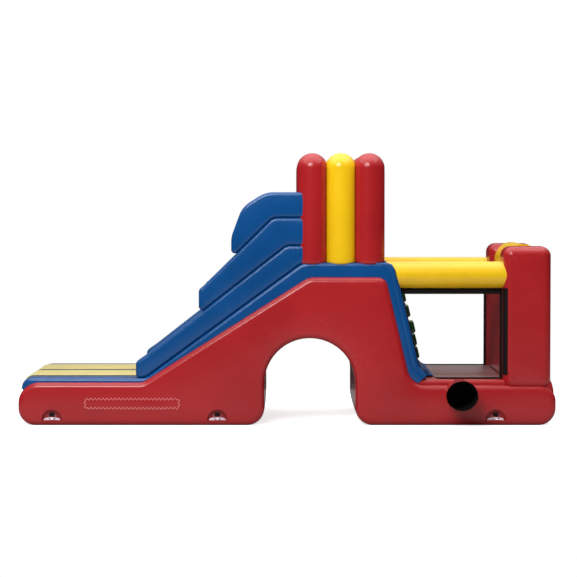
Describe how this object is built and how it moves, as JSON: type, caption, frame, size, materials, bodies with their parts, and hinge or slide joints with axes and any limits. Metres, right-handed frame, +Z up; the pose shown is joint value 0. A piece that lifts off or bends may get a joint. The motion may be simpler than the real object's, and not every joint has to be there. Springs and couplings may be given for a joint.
{
  "type": "inflatable slide",
  "caption": "Inflatable slide with a landing, a walled ramp, a tower over a crawl tunnel, a climbing wall with holds and a fenced play floor.",
  "frame": {"origin": "a point on the flat underside of the play base, on the middle line across the width", "axes": "+X along the length from the landing to the play end, +Y to the far side, +Z up"},
  "size_m": [5, 2.34, 2.529],
  "materials": {
    "red_vinyl": "gloss",
    "blue_vinyl": "gloss",
    "yellow_vinyl": "gloss",
    "green_vinyl": "gloss",
    "web_fabric": "matte",
    "black_webbing": "matte",
    "ring_steel": "satin"
  },
  "bodies": {
    "slide_body": {"main_body": "red_vinyl", "inner_web_front": "web_fabric", "inner_web_middle": "web_fabric", "inner_web_back": "web_fabric", "slide_bed": "blue_vinyl", "slide_lane_front": "yellow_vinyl", "slide_lane_back": "yellow_vinyl", "side_wall_lower_front": "blue_vinyl", "side_wall_middle_front": "blue_vinyl", "side_wall_upper_front": "blue_vinyl", "side_wall_lower_back": "blue_vinyl", "side_wall_middle_back": "blue_vinyl", "side_wall_upper_back": "blue_vinyl", "column_1_front": "red_vinyl", "column_2_front": "yellow_vinyl", "column_3_front": "red_vinyl", "column_1_back": "red_vinyl", "column_2_back": "yellow_vinyl", "column_3_back": "red_vinyl", "climbing_wall": "blue_vinyl", "play_floor": "red_vinyl", "hold_1": "green_vinyl", "hold_2": "green_vinyl", "hold_3": "green_vinyl", "hold_4": "green_vinyl", "hold_5": "green_vinyl", "hold_6": "green_vinyl", "hold_7": "green_vinyl", "hold_8": "green_vinyl", "hold_9": "green_vinyl", "hold_10": "green_vinyl", "end_pillar_front": "red_vinyl", "end_pillar_back": "red_vinyl", "end_wall": "red_vinyl", "end_tube": "yellow_vinyl", "side_rail_front": "yellow_vinyl", "side_rail_back": "yellow_vinyl", "window_hem_front": "black_webbing", "window_hem_back": "black_webbing", "inflation_sleeve": "red_vinyl", "anchor_tab_1": "black_webbing", "anchor_tab_2": "black_webbing", "anchor_tab_3": "black_webbing", "anchor_tab_4": "black_webbing", "anchor_tab_5": "black_webbing", "anchor_tab_6": "black_webbing", "zip_tape": "black_webbing"},
    "ring_1": {"anchor_ring_1": "ring_steel"},
    "ring_2": {"anchor_ring_2": "ring_steel"},
    "ring_3": {"anchor_ring_3": "ring_steel"},
    "ring_4": {"anchor_ring_4": "ring_steel"},
    "ring_5": {"anchor_ring_5": "ring_steel"},
    "ring_6": {"anchor_ring_6": "ring_steel"},
    "slider": {"zip_slider": "ring_steel"},
    "flap": {"zip_flap": "red_vinyl"}
  },
  "joints": [
    {"name": "ring_1_swing", "type": "hinge", "parent": "slide_body", "child": "ring_1", "pos_m": [-3.583, -0.978, 0.096], "axis": [-1, 0, 0], "range_deg": [-4, 120]},
    {"name": "ring_2_swing", "type": "hinge", "parent": "slide_body", "child": "ring_2", "pos_m": [-2.047, -0.978, 0.096], "axis": [-1, 0, 0], "range_deg": [-4, 120]},
    {"name": "ring_3_swing", "type": "hinge", "parent": "slide_body", "child": "ring_3", "pos_m": [0.538, -0.978, 0.096], "axis": [-1, 0, 0], "range_deg": [-4, 120]},
    {"name": "ring_4_swing", "type": "hinge", "parent": "slide_body", "child": "ring_4", "pos_m": [-3.583, 0.978, 0.096], "axis": [1, 0, 0], "range_deg": [-4, 120]},
    {"name": "ring_5_swing", "type": "hinge", "parent": "slide_body", "child": "ring_5", "pos_m": [-2.047, 0.978, 0.096], "axis": [1, 0, 0], "range_deg": [-4, 120]},
    {"name": "ring_6_swing", "type": "hinge", "parent": "slide_body", "child": "ring_6", "pos_m": [0.538, 0.978, 0.096], "axis": [1, 0, 0], "range_deg": [-4, 120]},
    {"name": "zip_slide", "type": "slide", "parent": "slide_body", "child": "slider", "axis": [1, 0, 0], "range_m": [0, 0.75]},
    {"name": "flap_lift", "type": "hinge", "parent": "slide_body", "child": "flap", "pos_m": [-2.838, -1.0018, 0.2595], "axis": [-1, 0, 0], "range_deg": [0, 150]}
  ]
}
